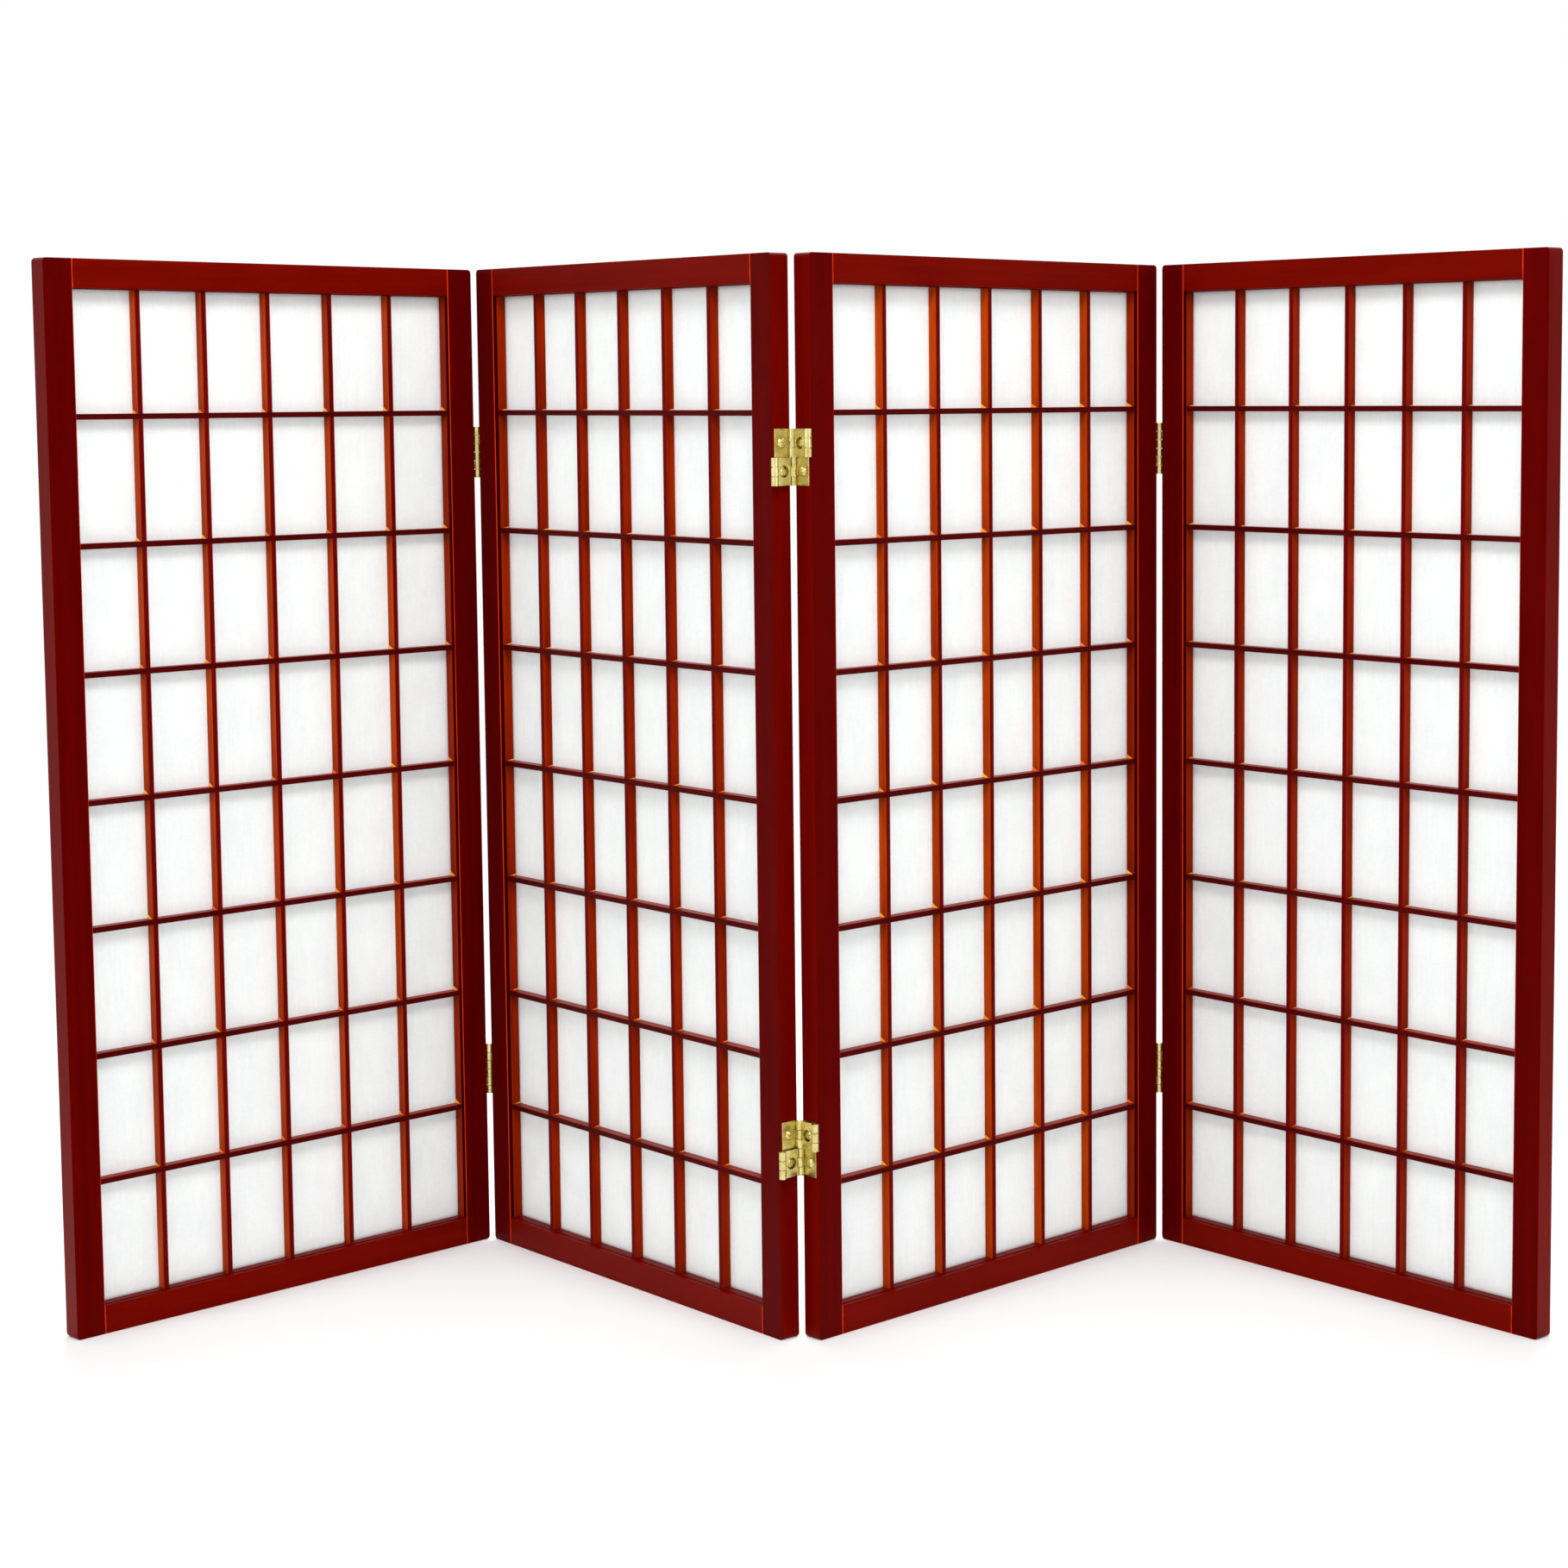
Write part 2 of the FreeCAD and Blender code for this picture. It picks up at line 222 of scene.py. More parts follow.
def cut_from_board(bm, name, grain):
    """Stores where in a board each vertex lies, for the grain of the wood.

    grain is the axis of the panel that the fibres follow. Each loose part of the mesh has
    its own place in the board, so that no two match. Parts are taken in the mesh's order.
    """
    layer = bm.verts.layers.float_vector.new("board")
    letters = sum(ord(letter) for letter in name)
    reached = set()
    cut = 0
    for first in bm.verts:
        if first in reached:
            continue
        cut += 1
        shift = Vector((part_along * cut + name_along * letters, part_across * cut,
                        name_deeper * letters))
        reached.add(first)
        part = [first]
        for vert in part:
            along = Vector((vert.co.z, vert.co.y, vert.co.x)) if grain == "Z" else vert.co
            vert[layer] = along + shift
            for edge in vert.link_edges:
                other = edge.other_vert(vert)
                if other not in reached:
                    reached.add(other)
                    part.append(other)


def add_piece(name, bm, panel, materials, replaced, grain=None):
    """Finishes a mesh as one piece, which rides on a panel and replaces the node named."""
    if grain is not None:
        cut_from_board(bm, name, grain)
    across, deep, heading = panel_places[panel]
    bm.transform(Matrix.Translation((across, deep, 0.0))
                 @ Matrix.Rotation(radians(heading), 4, "Z"))
    piece = new_object(name, bm)
    for material in materials:
        piece.data.materials.append(material)
    if replaced is not None:
        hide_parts(replaced)
    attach(piece, "panel_%d" % panel)
    return piece


def red_lacquer(name, deep, light, gloss_tint, roughness, gloss):
    """Stained softwood with a long fine figure and short pores, under red lacquer."""
    material, surface = new_material(name)
    board = add_node(material, "ShaderNodeAttribute", {"attribute_name": "board"})
    # Annual rings run along the board about 3 mm apart, and pores are about 0.4 mm wide.
    rings_at = add_node(material, "ShaderNodeMapping", inputs={
        "Vector": board.outputs["Vector"], "Scale": (2.2, 160.0, 160.0)})
    rings = add_node(material, "ShaderNodeTexNoise", inputs={
        "Vector": rings_at.outputs["Vector"], "Scale": 1.0, "Detail": 3.0, "Distortion": 0.6})
    pores_at = add_node(material, "ShaderNodeMapping", inputs={
        "Vector": board.outputs["Vector"], "Scale": (60.0, 1100.0, 1100.0)})
    pores = add_node(material, "ShaderNodeTexNoise", inputs={
        "Vector": pores_at.outputs["Vector"], "Scale": 1.0, "Detail": 2.0})
    # Stain is taken up unevenly, in patches some 80 mm long.
    patches_at = add_node(material, "ShaderNodeMapping", inputs={
        "Vector": board.outputs["Vector"], "Scale": (12.0, 40.0, 40.0)})
    patches = add_node(material, "ShaderNodeTexNoise", inputs={
        "Vector": patches_at.outputs["Vector"], "Scale": 1.0, "Detail": 2.0})
    figure = add_node(material, "ShaderNodeMath", {"operation": "MULTIPLY_ADD"}, {
        0: pores.outputs["Fac"], 1: 0.45, 2: rings.outputs["Fac"]})
    uneven = add_node(material, "ShaderNodeMath", {"operation": "MULTIPLY_ADD"}, {
        0: patches.outputs["Fac"], 1: 0.8, 2: figure.outputs[0]})
    tone = add_node(material, "ShaderNodeMapRange", inputs={
        "Value": uneven.outputs[0], "From Min": 0.75, "From Max": 1.5})
    colour = add_node(material, "ShaderNodeMix", {"data_type": "RGBA"}, {
        0: tone.outputs[0], 6: to_linear(deep), 7: to_linear(light)})
    relief = add_node(material, "ShaderNodeBump", inputs={
        "Height": figure.outputs[0], "Strength": 0.12, "Distance": 0.0004})
    wear = add_node(material, "ShaderNodeMapRange", inputs={
        "Value": patches.outputs["Fac"], "To Min": roughness - 0.06, "To Max": roughness + 0.08})
    lacquer = add_node(material, "ShaderNodeBsdfPrincipled", inputs={
        "Base Color": colour.outputs[2], "Roughness": wear.outputs[0], "IOR": 1.5,
        "Specular IOR Level": gloss, "Specular Tint": to_linear(gloss_tint),
        "Normal": relief.outputs[0]})
    material.node_tree.links.new(lacquer.outputs[0], surface)
    return material


# Sprayed lacquer over a deep red stain, dark on the faces. The outer edges are painted a shade
# brighter: painted light, for the light that the open sides of the stiles catch.
stained_face = red_lacquer(
    "red_lacquered_softwood_face", "#4E0000", "#5E0200", "#FF3010", roughness=0.42, gloss=0.05)
painted_lit_edge = red_lacquer(
    "red_lacquered_softwood_painted_lit_edge", "#5C0200", "#6E0600", "#FF4010", roughness=0.40, gloss=0.06)
# A painted highlight: bright orange-red in broken patches along the front inner arrises and the
# rails' front ends, for the light that those rounded arrises catch.
painted_highlight_arris = red_lacquer(
    "red_lacquered_softwood_painted_highlight", "#A81400", "#F84810", "#FF7020", roughness=0.35, gloss=0.20)
# The sides that face the lattice are painted dark and dull: painted shade, for the shade in the
# recess in front of the lattice.
painted_shade_rebate = red_lacquer(
    "red_softwood_rebate_painted_shade", "#2A0000", "#3A0100", "#FF3010", roughness=0.60, gloss=0.02)

stile_materials = [stained_face, painted_lit_edge, painted_highlight_arris, painted_shade_rebate]
face_slot, painted_lit_edge_slot, painted_highlight_slot, painted_shade_slot = range(4)
rail_from, rail_to = stile_width, panel_width - stile_width
for panel in panel_numbers:
    for side, start, outer, inner in (("left", 0.0, 0.0, rail_from),
                                      ("right", rail_to, panel_width, rail_to)):
        bm = bmesh.new()
        add_box(bm, (start, 0.0, 0.0), (start + stile_width, frame_thickness, panel_height))
        ends = [edge for edge in bm.edges
                if all(abs(vert.co.x - outer) < same_place for vert in edge.verts)
                and abs(edge.verts[0].co.z - edge.verts[1].co.z) < same_place]
        ease(bm, ends, stile_end_radius, 8)
        sharp = [edge for edge in bm.edges if edge.calc_face_angle(0.0) > radians(40)]
        ease(bm, sharp, arris, 3)
        for face in bm.faces:
            middle = face.calc_center_median()
            if abs(middle.x - inner) < arris:
                # The front inner arris takes the painted highlight, and the inner side the
                # painted shade.
                face.material_index = painted_highlight_slot if middle.y < arris else painted_shade_slot
            else:
                # The outer edges take the painted light.
                face.material_index = painted_lit_edge_slot if abs(face.normal.x) > facing else face_slot
        add_piece("stile_%d_%s" % (panel, side), bm, panel, stile_materials,
                  "panel_%d_%s_stile" % (panel, side), grain="Z")


# ---- Rails ---------------------------------------------------------------------------
# A rail at the top and one at the bottom, of the same wood, tenoned between the stiles.
# Their eased front ends carry the painted highlight, which leaves a fine bright line at each
# joint.
rail_height = 0.0246
stained_rail = red_lacquer(
    "red_lacquered_softwood_rail", "#620400", "#740900", "#FF4010", roughness=0.40, gloss=0.06)
for panel in panel_numbers:
    for name, low in (("top_rail", panel_height - rail_height), ("bottom_rail", 0.0)):
        bm = bmesh.new()
        add_block(bm, (rail_from, 0.0, low), (rail_to, frame_thickness, low + rail_height))
        for face in bm.faces:
            middle = face.calc_center_median()
            joint_highlight = min(middle.x - rail_from, rail_to - middle.x) < arris
            # The front ends at the joints take the painted highlight.
            face.material_index = 1 if joint_highlight and middle.y < arris else 0
        add_piece("%s_%d" % (name, panel), bm, panel, [stained_rail, painted_highlight_arris],
                  "panel_%d_%s" % (panel, name), grain="X")


# ---- Lattice edging ------------------------------------------------------------------
# Four slim strips let into the frame's groove surround the lattice. They stand under a
# millimetre proud of the frame's inner edge, and are as deep as the lattice bars.
lattice_front = 0.0040
lattice_back = 0.01325
edging_side = 0.0244
edging_end = 0.0226
edging_thickness = 0.0028
bar_arris = 0.0003
# The bars' faces are dark. Their flanks are painted orange: painted light, the left ones
# brightest, for the light that falls on them from the front.
upright_face = red_lacquer(
    "red_lacquered_softwood_upright_face", "#5C0203", "#6C0807", "#FF3010",
    roughness=0.40, gloss=0.05)
painted_lit_left_flank = red_lacquer(
    "red_lacquered_softwood_painted_lit_left_flank", "#842000", "#C04604", "#FF6020",
    roughness=0.34, gloss=0.05)
painted_lit_right_flank = red_lacquer(
    "red_lacquered_softwood_painted_lit_right_flank", "#6C1000", "#9A2602", "#FF5018",
    roughness=0.34, gloss=0.05)


def paint_flank_light(bm):
    """Gives the faces that look left the second material and those that look right the third: the
    flanks' painted light.
    """
    for face in bm.faces:
        across = face.normal.x
        face.material_index = 1 if across < -facing else 2 if across > facing else 0


inner_side = edging_side + edging_thickness
inner_end = edging_end + edging_thickness
for panel in panel_numbers:
    bm = bmesh.new()
    for left in (edging_side, panel_width - inner_side):
        add_block(bm, (left, lattice_front, edging_end),
                  (left + edging_thickness, lattice_back, panel_height - edging_end), bar_arris)
    for low in (edging_end, panel_height - inner_end):
        add_block(bm, (inner_side, lattice_front, low),
                  (panel_width - inner_side, lattice_back, low + edging_thickness), bar_arris)
    paint_flank_light(bm)
    # Both of the edging's flanks take the right flank's painted light.
    add_piece("edging_%d" % panel, bm, panel, [upright_face, painted_lit_right_flank, painted_lit_right_flank],
              "panel_%d_lattice_edging" % panel, grain="Z")


# ---- Lattice bars --------------------------------------------------------------------
# Five uprights and seven crossbars, 4.8 mm wide, are half-lapped where they cross and run
# from edging to edging. The crossbars' faces stand a hair proud at the laps.
columns = 6
rows = 8
bar_width = 0.0048
lap_step = 0.00004
# The crossbars' faces are the darkest. Their glossy tops take the right flanks' painted light,
# for the light from above.
crossbar_face = red_lacquer(
    "red_lacquered_softwood_crossbar_face", "#400303", "#500A0A", "#FF3010",
    roughness=0.40, gloss=0.05)


def bar_starts(inner_edge, overall, cells):
    """Where each bar starts, so that all the cells are the same size."""
    cell = (overall - 2 * inner_edge - (cells - 1) * bar_width) / cells
    return [inner_edge + cell * (i + 1) + bar_width * i for i in range(cells - 1)]


upright_starts = bar_starts(inner_side, panel_width, columns)
crossbar_starts = bar_starts(inner_end, panel_height, rows)
for panel in panel_numbers:
    bm = bmesh.new()
    for left in upright_starts:
        add_block(bm, (left, lattice_front + lap_step, inner_end),
                  (left + bar_width, lattice_back - lap_step, panel_height - inner_end),
                  bar_arris)
    paint_flank_light(bm)
    add_piece("uprights_%d" % panel, bm, panel, [upright_face, painted_lit_left_flank, painted_lit_right_flank],
              "panel_%d_lattice_uprights" % panel, grain="Z")
    bm = bmesh.new()
    for low in crossbar_starts:
        add_block(bm, (inner_side, lattice_front, low),
                  (panel_width - inner_side, lattice_back, low + bar_width), bar_arris)
    for face in bm.faces:
        # The tops get the painted light.
        face.material_index = 1 if face.normal.z > facing else 0
    add_piece("crossbars_%d" % panel, bm, panel, [crossbar_face, painted_lit_right_flank],
              "panel_%d_lattice_crossbars" % panel, grain="X")


# ---- Painted glints ------------------------------------------------------------------
# Sprayed lacquer runs down the uprights and pools on the crossbars, so a small glossy bead
# A small glossy wedge sits in each lower corner of a cell, painted bright orange to yellow: a
# painted glint, for the light that the crossbar's glossy top reflects onto the upright. Those in
# the right corners of cells, key -1, climb higher than those in the left ones.
glint_rise = {-1: 0.0046, 1: 0.0014}
glint_reach = 0.0012
glint_sink = 0.0002
glint_front_inset = 0.0004
glint_tip_inset = 0.0006
painted_glint_lacquer, surface = new_material("pooled_amber_lacquer")
glint_spot = add_node(painted_glint_lacquer, "ShaderNodeTexCoord")
# The painted glint is brighter here and dimmer there, in stretches of a few centimetres.
glint_noise = add_node(painted_glint_lacquer, "ShaderNodeTexNoise", inputs={
    "Vector": glint_spot.outputs["Object"], "Scale": 30.0, "Detail": 2.0})
glint_tone = add_node(painted_glint_lacquer, "ShaderNodeMapRange", inputs={
    "Value": glint_noise.outputs["Fac"], "From Min": 0.35, "From Max": 0.65})
glint_colour = add_node(painted_glint_lacquer, "ShaderNodeMix", {"data_type": "RGBA"}, {
    0: glint_tone.outputs[0], 6: to_linear("#E86010"), 7: to_linear("#FFC040")})
glint_body = add_node(painted_glint_lacquer, "ShaderNodeBsdfPrincipled", inputs={
    "Base Color": glint_colour.outputs[2], "Roughness": 0.2, "IOR": 1.5})
painted_glint_lacquer.node_tree.links.new(glint_body.outputs[0], surface)

cell_corners = [(inner_side, 1), (panel_width - inner_side, -1)]
for left in upright_starts:
    cell_corners += [(left, -1), (left + bar_width, 1)]
for panel in panel_numbers:
    bm = bmesh.new()
    for low in crossbar_starts:
        top = low + bar_width - glint_sink
        for side, away in cell_corners:
            flank = side - away * glint_sink
            tips = [bm.verts.new(point) for point in (
                (flank, lattice_front + glint_front_inset, top),
                (flank, lattice_back, top),
                (flank, lattice_back, top + glint_rise[away]),
                (flank + away * glint_reach, lattice_back - glint_tip_inset, top))]
            bmesh.ops.convex_hull(bm, input=tips)
    bmesh.ops.recalc_face_normals(bm, faces=bm.faces[:])
    painted_glint_beads = add_piece("lacquer_beads_%d" % panel, bm, panel, [painted_glint_lacquer], None)


# ---- Paper ---------------------------------------------------------------------------
# One sheet of white fibre paper per panel is glued to the back of the lattice and held in
# the groove. It is taut, with faint long fibres and a slight cockle between the bars.
paper_thickness = 0.00025
paper_width = panel_width - 2 * edging_side
paper_length = panel_height - 2 * edging_end
cockle = 0.00035
squares_across_cell = 12
squares_up_cell = 20
fibre_paper, surface = new_material("white_fibre_paper")
spot = add_node(fibre_paper, "ShaderNodeTexCoord")
# Kozo fibres are tens of millimetres long: stretched noise in two directions.
fibres_up = add_node(fibre_paper, "ShaderNodeMapping", inputs={
    "Vector": spot.outputs["Object"], "Rotation": (0.3, 0.5, 0.4),
    "Scale": (420.0, 420.0, 40.0)})
fibres_across = add_node(fibre_paper, "ShaderNodeMapping", inputs={
    "Vector": spot.outputs["Object"], "Rotation": (0.9, 0.2, 1.1),
    "Scale": (60.0, 420.0, 420.0)})
noise_up = add_node(fibre_paper, "ShaderNodeTexNoise", inputs={
    "Vector": fibres_up.outputs[0], "Scale": 1.0, "Detail": 3.0})
noise_across = add_node(fibre_paper, "ShaderNodeTexNoise", inputs={
    "Vector": fibres_across.outputs[0], "Scale": 1.0, "Detail": 3.0})
# The pulp lies in clouds about 35 mm across.
clouds = add_node(fibre_paper, "ShaderNodeTexNoise", inputs={
    "Vector": spot.outputs["Object"], "Scale": 28.0, "Detail": 3.0})
fibres = add_node(fibre_paper, "ShaderNodeMath", {"operation": "ADD"}, {
    0: noise_up.outputs["Fac"], 1: noise_across.outputs["Fac"]})
pulp = add_node(fibre_paper, "ShaderNodeMath", {"operation": "MULTIPLY_ADD"}, {
    0: clouds.outputs["Fac"], 1: 0.8, 2: fibres.outputs[0]})
shade = add_node(fibre_paper, "ShaderNodeMapRange", inputs={
    "Value": pulp.outputs[0], "From Min": 0.9, "From Max": 1.9})
white = add_node(fibre_paper, "ShaderNodeMix", {"data_type": "RGBA"}, {
    0: shade.outputs[0], 6: to_linear("#F0F2F2"), 7: to_linear("#FAFCFB")})
tooth = add_node(fibre_paper, "ShaderNodeBump", inputs={
    "Height": fibres.outputs[0], "Strength": 0.08, "Distance": 0.0003})
sheet_front = add_node(fibre_paper, "ShaderNodeBsdfPrincipled", inputs={
    "Base Color": white.outputs[2], "Roughness": 0.85, "Specular IOR Level": 0.15,
    "Normal": tooth.outputs[0]})
sheet_through = add_node(fibre_paper, "ShaderNodeBsdfTranslucent", inputs={
    "Color": white.outputs[2]})
# About a third of the light comes through the sheet.
sheet_mix = add_node(fibre_paper, "ShaderNodeMixShader", inputs={
    0: 0.34, 1: sheet_front.outputs[0], 2: sheet_through.outputs[0]})
fibre_paper.node_tree.links.new(sheet_mix.outputs[0], surface)

pitch_across = upright_starts[1] - upright_starts[0]
pitch_up = crossbar_starts[1] - crossbar_starts[0]
paper_middle = (panel_width / 2, lattice_back + paper_thickness / 2, panel_height / 2)
for panel in panel_numbers:
    bm = bmesh.new()
    bmesh.ops.create_grid(
        bm, x_segments=columns * squares_across_cell, y_segments=rows * squares_up_cell,
        size=0.5, matrix=(Matrix.Translation(paper_middle)
                          @ Matrix.Rotation(radians(90), 4, "X")
                          @ Matrix.Diagonal((paper_width, paper_length, 1.0, 1.0))))
    # The sheet is held along the bars and cockles back between them, by an amount that
    # differs from cell to cell and from panel to panel.
    for vert in bm.verts:
        across = (vert.co.x - inner_side + bar_width / 2) / pitch_across
        up = (vert.co.z - inner_end + bar_width / 2) / pitch_up
        free = abs(sin(pi * across) * sin(pi * up)) ** 1.2
        ripple = sin(9.1 * across + 3.0 * panel) * cos(5.3 * up + panel)
        vert.co.y += cockle * free * (0.6 + 0.4 * ripple)
    bmesh.ops.solidify(bm, geom=bm.faces[:], thickness=paper_thickness)
    bmesh.ops.recalc_face_normals(bm, faces=bm.faces[:])
    for face in bm.faces:
        face.smooth = True
    paper = add_piece("paper_%d" % panel, bm, panel, [fibre_paper], "panel_%d_paper" % panel)


# ---- Hinge plates --------------------------------------------------------------------
# Each crossed-link hinge has a brass plate screwed to either stile. A plate is pressed
# sheet under a millimetre thick, with one knuckle rolled at the back and another at the front.
hinge_height = 0.0475
hinge_centres = (0.7464, 0.1640)
panel_gap = 0.0068
leaf = 0.0008
leaf_margin = 0.0021
plate_end_inset = 0.0001
plate_arris = 0.0002
# Each knuckle meets its plate or link at a tab. A plate's tab is thicker than its sheet.
plate_tab = leaf * 1.6
tab_arris = 0.00015
barrel_radius = 0.0032
knuckle_gap = 0.0006
half_seam = 8.0
# In each half, either row of the hinge has three knuckles: a plate's between two of the link's.
half_height = hinge_height / 2
pitch = half_height / 3
half_gap = knuckle_gap / 2
face_x = panel_gap / 2
# Each line of hinges: its left panel, its right panel, and the row of pins that it turns on.
lines = {"12": (1, 2, "front"), "23": (2, 3, "back"), "34": (3, 4, "front")}
# Plates and screws: their line, their side of it, their panel, and the panel's edge there.
leaves = []
for line, (left, right, pivot) in lines.items():
    leaves += [(line, "left", left, "right"), (line, "right", right, "left")]

brass, surface = new_material("pressed_yellow_brass")
# Bright dipped brass, lightly tarnished, with drawing lines a few tenths of a millimetre apart.
spot = add_node(brass, "ShaderNodeTexCoord")
drawn = add_node(brass, "ShaderNodeMapping", inputs={
    "Vector": spot.outputs["Object"], "Scale": (260.0, 260.0, 2600.0)})
drawing_lines = add_node(brass, "ShaderNodeTexNoise", inputs={
    "Vector": drawn.outputs[0], "Scale": 1.0, "Detail": 2.0})
# Tarnish is in spots of some 7 mm.
tarnish = add_node(brass, "ShaderNodeTexNoise", inputs={
    "Vector": spot.outputs["Object"], "Scale": 140.0, "Detail": 4.0})
brass_tone = add_node(brass, "ShaderNodeMapRange", inputs={
    "Value": tarnish.outputs["Fac"], "From Min": 0.35, "From Max": 0.7})
brass_colour = add_node(brass, "ShaderNodeMix", {"data_type": "RGBA"}, {
    0: brass_tone.outputs[0], 6: to_linear("#CBBB70"), 7: to_linear("#E4D9A0")})
brass_rough = add_node(brass, "ShaderNodeMapRange", inputs={
    "Value": drawing_lines.outputs["Fac"], "To Min": 0.18, "To Max": 0.34})
brass_relief = add_node(brass, "ShaderNodeBump", inputs={
    "Height": drawing_lines.outputs["Fac"], "Strength": 0.08, "Distance": 0.0001})
brass_body = add_node(brass, "ShaderNodeBsdfPrincipled", inputs={
    "Base Color": brass_colour.outputs[2], "Metallic": 1.0,
    "Roughness": brass_rough.outputs[0], "Normal": brass_relief.outputs[0]})
brass.node_tree.links.new(brass_body.outputs[0], surface)


def thicken(bm, faces, offset):
    """Turns a flat sheet of faces into a solid that reaches from it to its copy at offset."""
    raised = bmesh.ops.extrude_face_region(bm, geom=faces, use_keep_orig=True)
    verts = [item for item in raised["geom"] if isinstance(item, bmesh.types.BMVert)]
    bmesh.ops.translate(bm, verts=verts, vec=offset)


def add_knuckle(bm, row, low, seam):
    """A knuckle of sheet rolled round the front or back pin, with its seam at an angle."""
    centre = Vector((0.0, frame_thickness if row == "back" else 0.0, low + half_gap))
    turn = Matrix.Rotation(radians(seam + half_seam), 4, "Z")
    inner = bm.verts.new(centre + turn @ Vector((barrel_radius - leaf, 0.0, 0.0)))
    outer = bm.verts.new(centre + turn @ Vector((barrel_radius, 0.0, 0.0)))
    start = bm.edges.new((inner, outer))
    others = set(bm.faces)
    bmesh.ops.spin(bm, geom=[inner, outer, start], cent=centre, axis=(0.0, 0.0, 1.0),
                   angle=radians(360.0 - 2 * half_seam), steps=28)
    ring = [face for face in bm.faces if face not in others]
    thicken(bm, ring, (0.0, 0.0, pitch - knuckle_gap))


def add_hinge_pieces(bm, line, part, kind, panel, edge):
    """Adds one hinge's piece at both heights, on a panel's left or right edge."""
    centre = -face_x if edge == "left" else panel_width + face_x
    bmesh.ops.recalc_face_normals(bm, faces=bm.faces[:])
    single = bpy.data.meshes.new("single")
    bm.to_mesh(single)
    bm.free()
    pair = bmesh.new()
    for height in hinge_centres:
        placed = single.copy()
        placed.transform(Matrix.Translation((centre, 0.0, height)))
        pair.from_mesh(placed)
        bpy.data.meshes.remove(placed)
    bpy.data.meshes.remove(single)
    name = "hinge_%s_%s_%s" % (line, part, kind)
    add_piece(name, pair, panel, [brass], name + "s")


# Half a turn about the hinge's middle makes a right piece of a left one.
half_turn = Matrix.Translation((0.0, frame_thickness, 0.0)) @ Matrix.Rotation(pi, 4, "Z")
for line, side, panel, edge in leaves:
    bm = bmesh.new()
    add_block(bm, (-face_x, leaf_margin, -half_height + plate_end_inset),
              (-face_x + leaf, frame_thickness - leaf_margin, half_height - plate_end_inset),
              plate_arris)
    for low, row, near, far, seam in (
            (pitch, "back", frame_thickness - barrel_radius, frame_thickness, 235.0),
            (pitch - half_height, "front", 0.0, barrel_radius, 125.0)):
        add_block(bm, (-face_x, near, low + half_gap),
                  (-face_x + plate_tab, far, low + pitch - half_gap), tab_arris)
        add_knuckle(bm, row, low, seam)
    if side == "right":
        bm.transform(half_turn)
    add_hinge_pieces(bm, line, side, "plate", panel, edge)


# ---- Hinge links ---------------------------------------------------------------------
# Between the plates stand two half-height links, one over the other. Each has two knuckles
# on either pin and a round hole that clears the screw heads when the screen folds.
link_hole = 0.0050
link_inset = barrel_radius + 0.0003
tab_overlap = 0.0003
# Links and pins: their line, their half, its foot, the panel they ride on, and its edge.
# The upper link rides on the left panel where the line turns on its front pins.
halves = []
for line, (left, right, pivot) in lines.items():
    on_left, on_right = (left, "right"), (right, "left")
    upper, lower = (on_left, on_right) if pivot == "front" else (on_right, on_left)
    halves += [(line, "upper", 0.0, *upper), (line, "lower", -half_height, *lower)]

for line, half, base, rider, edge in halves:
    bm = bmesh.new()
    bmesh.ops.create_circle(bm, cap_ends=False, segments=32, radius=link_hole, matrix=(
        Matrix.Translation((-leaf / 2, frame_thickness / 2, base + half_height / 2))
        @ Matrix.Rotation(pi / 2, 4, "Y")))
    near, far = link_inset, frame_thickness - link_inset
    low, high = base + half_gap, base + half_height - half_gap
    corners = [bm.verts.new((-leaf / 2, across, up)) for across, up in (
        (near, low), (far, low), (far, high), (near, high))]
    for start, end in zip(corners, corners[1:] + corners[:1]):
        bm.edges.new((start, end))
    filled = bmesh.ops.triangle_fill(bm, use_beauty=True, edges=bm.edges[:])
    web = [item for item in filled["geom"] if isinstance(item, bmesh.types.BMFace)]
    # The web is raised along x, whichever way its faces look, so it's always between the tabs.
    thicken(bm, web, (leaf, 0.0, 0.0))
    for foot in (base, base + 2 * pitch):
        for tab_from, tab_to in ((barrel_radius - leaf, near + tab_overlap),
                                 (far - tab_overlap, frame_thickness - barrel_radius + leaf)):
            add_block(bm, (-leaf / 2, tab_from, foot + half_gap),
                      (leaf / 2, tab_to, foot + pitch - half_gap), tab_arris)
        add_knuckle(bm, "front", foot, 60.0)
        add_knuckle(bm, "back", foot, 300.0)
    add_hinge_pieces(bm, line, half, "link", rider, edge)


# ---- Hinge pins ----------------------------------------------------------------------
# A plain brass pin runs through each barrel, front and back, its ends lightly domed over.
pin_radius = 0.0019
pin_length = half_height - 0.0002
pin_end_round = 0.0004
for line, half, base, rider, edge in halves:
    bm = bmesh.new()
    for deep in (0.0, frame_thickness):
        bmesh.ops.create_cone(
            bm, cap_ends=True, segments=28, radius1=pin_radius, radius2=pin_radius,
            depth=pin_length, matrix=Matrix.Translation((0.0, deep, base + half_height / 2)))
    rims = [edge_of_end for edge_of_end in bm.edges
            if edge_of_end.calc_face_angle(0.0) > radians(60)]
    ease(bm, rims, pin_end_round, 3)
    add_hinge_pieces(bm, line, half, "pin", rider, edge)


# ---- Hinge screws --------------------------------------------------------------------
# Brass wood screws with low domed heads hold each plate, one in the middle of each half.
# A cross recess is punched in every head.
screw_head_radius = 0.0043
screw_head_height = 0.0022
screw_shank_radius = 0.0013
screw_tip_share = 0.8
screw_length = 0.0138
recess_width = 0.0011
recess_reach = 0.0042
recess_depth = 0.0009
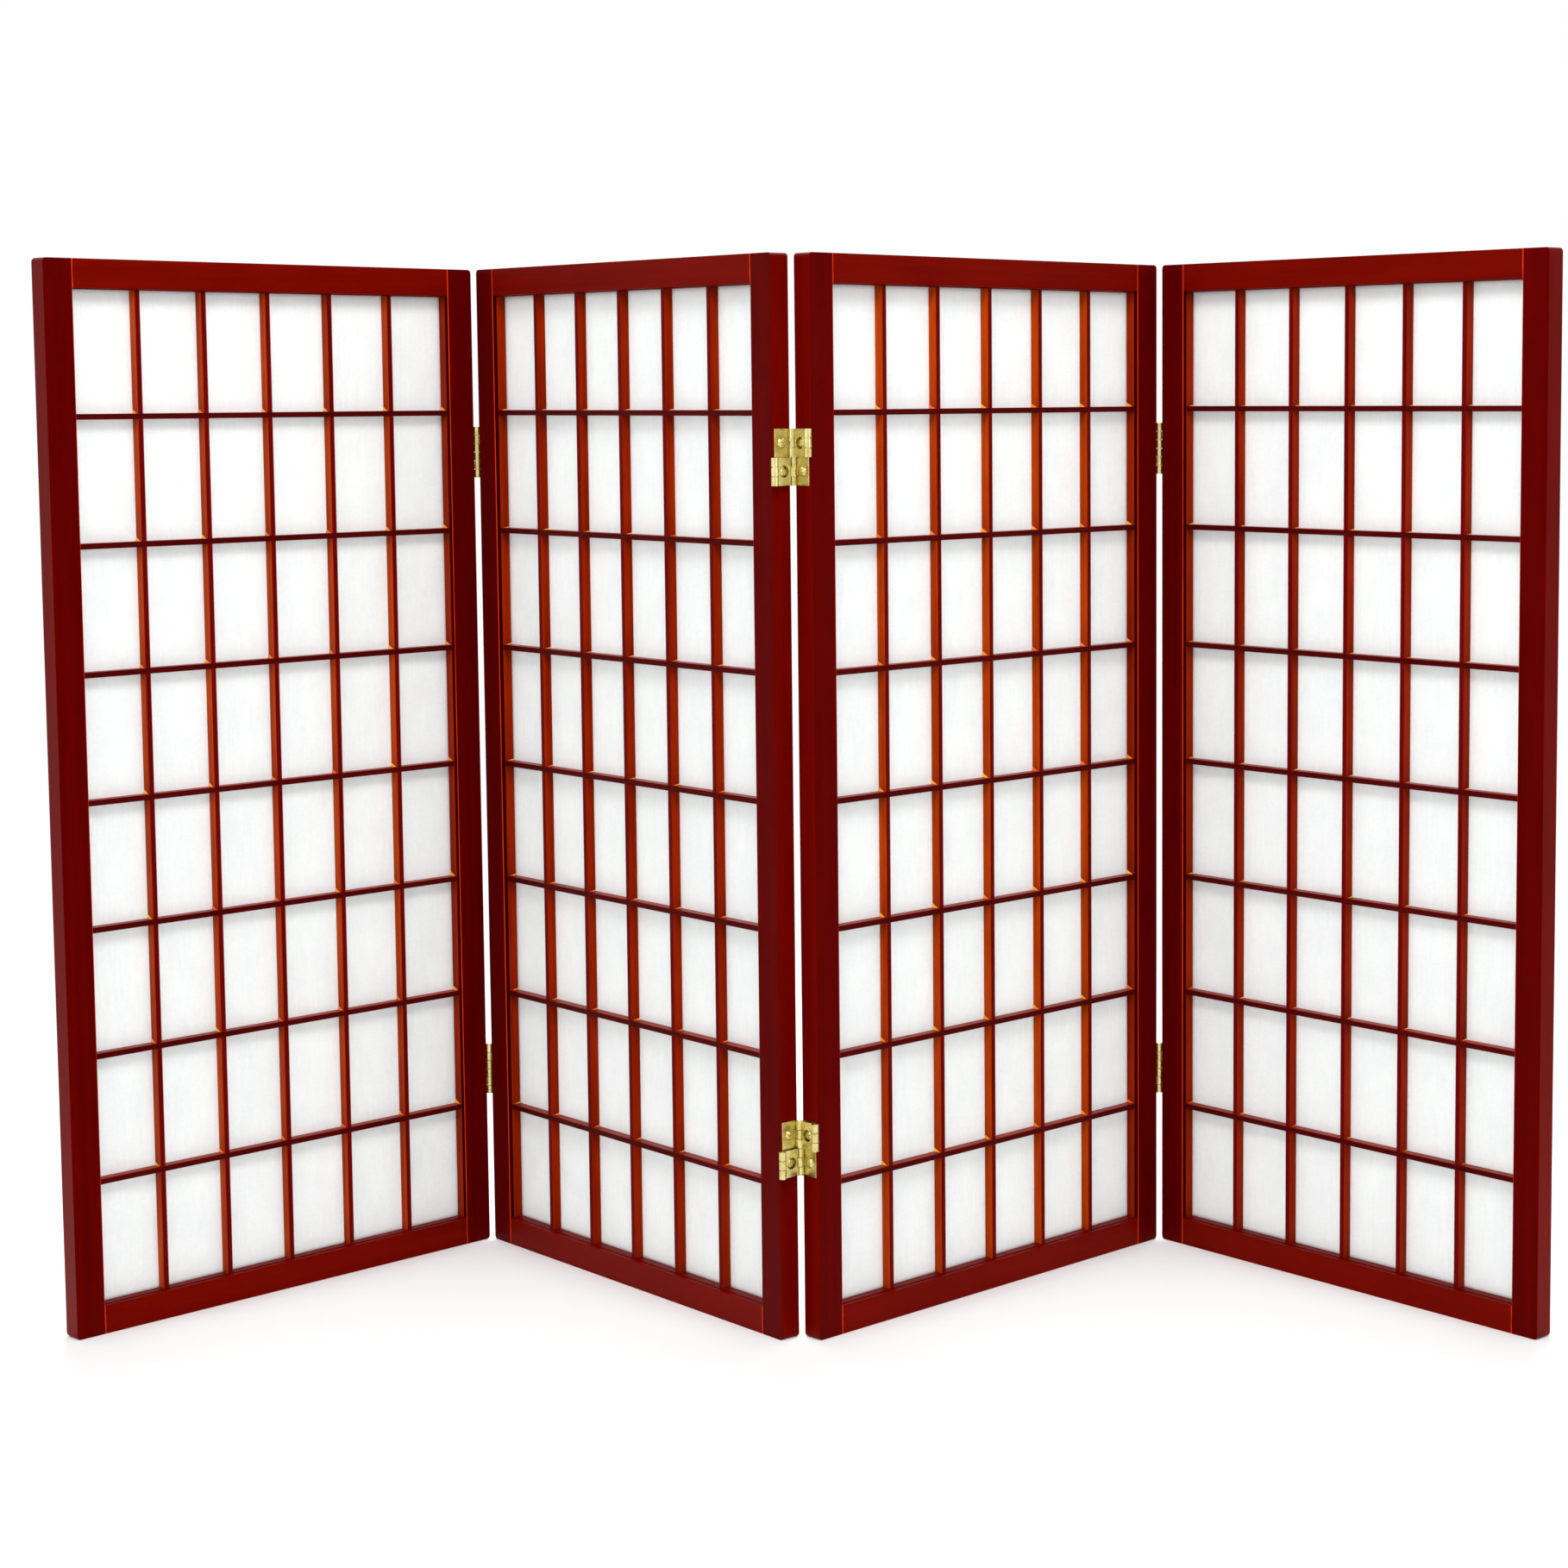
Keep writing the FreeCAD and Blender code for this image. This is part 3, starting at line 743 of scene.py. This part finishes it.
# The head's outline, as heights over the plate and radii: from under its middle, round the
# rim and up to the crown.
head_outline = (
    (0.0, 0.0), (0.0, screw_head_radius), (0.0005, 0.0042), (0.0011, 0.0037),
    (0.0016, 0.0029), (0.0019, 0.0021), (0.0021, 0.0011), (screw_head_height, 0.0))
dome = bmesh.new()
outline = [dome.verts.new((height, 0.0, radius)) for height, radius in head_outline]
outline += [dome.edges.new(ends) for ends in zip(outline, outline[1:])]
bmesh.ops.spin(dome, geom=outline, cent=(0, 0, 0), axis=(1, 0, 0), angle=2 * pi, steps=32,
               use_merge=True)
bmesh.ops.remove_doubles(dome, verts=dome.verts[:], dist=same_place)
bmesh.ops.recalc_face_normals(dome, faces=dome.faces[:])
for face in dome.faces:
    face.smooth = True
dome_object = new_object("screw_dome", dome)
cross = bmesh.new()
for width, reach in ((recess_width, recess_reach), (recess_reach, recess_width)):
    add_box(cross, (screw_head_height - recess_depth, -width / 2, -reach / 2),
            (screw_head_height + recess_depth, width / 2, reach / 2))
cross_object = new_object("screw_cross", cross)
punch = dome_object.modifiers.new("punch", "BOOLEAN")
punch.operation = "DIFFERENCE"
punch.use_self = True
punch.object = cross_object
depsgraph = bpy.context.evaluated_depsgraph_get()
punched = bpy.data.meshes.new_from_object(dome_object.evaluated_get(depsgraph))
bpy.data.objects.remove(dome_object)
bpy.data.objects.remove(cross_object)

for line, side, panel, edge in leaves:
    bm = bmesh.new()
    for number, half in enumerate((-1, 1)):
        seat = Matrix.Translation(
            (-face_x + leaf, frame_thickness / 2, half * half_height / 2))
        # The driver left the recesses at different angles.
        driven = Matrix.Rotation(0.5 + 0.9 * number + 0.7 * panel, 4, "X")
        head = punched.copy()
        head.transform(seat @ driven)
        bm.from_mesh(head)
        bpy.data.meshes.remove(head)
        bmesh.ops.create_cone(
            bm, cap_ends=True, segments=20, radius1=screw_shank_radius,
            radius2=screw_shank_radius * screw_tip_share, depth=screw_length,
            matrix=(seat @ Matrix.Translation((-screw_length / 2, 0.0, 0.0))
                    @ Matrix.Rotation(-pi / 2, 4, "Y")))
    if side == "right":
        bm.transform(half_turn)
    add_hinge_pieces(bm, line, side, "screw", panel, edge)
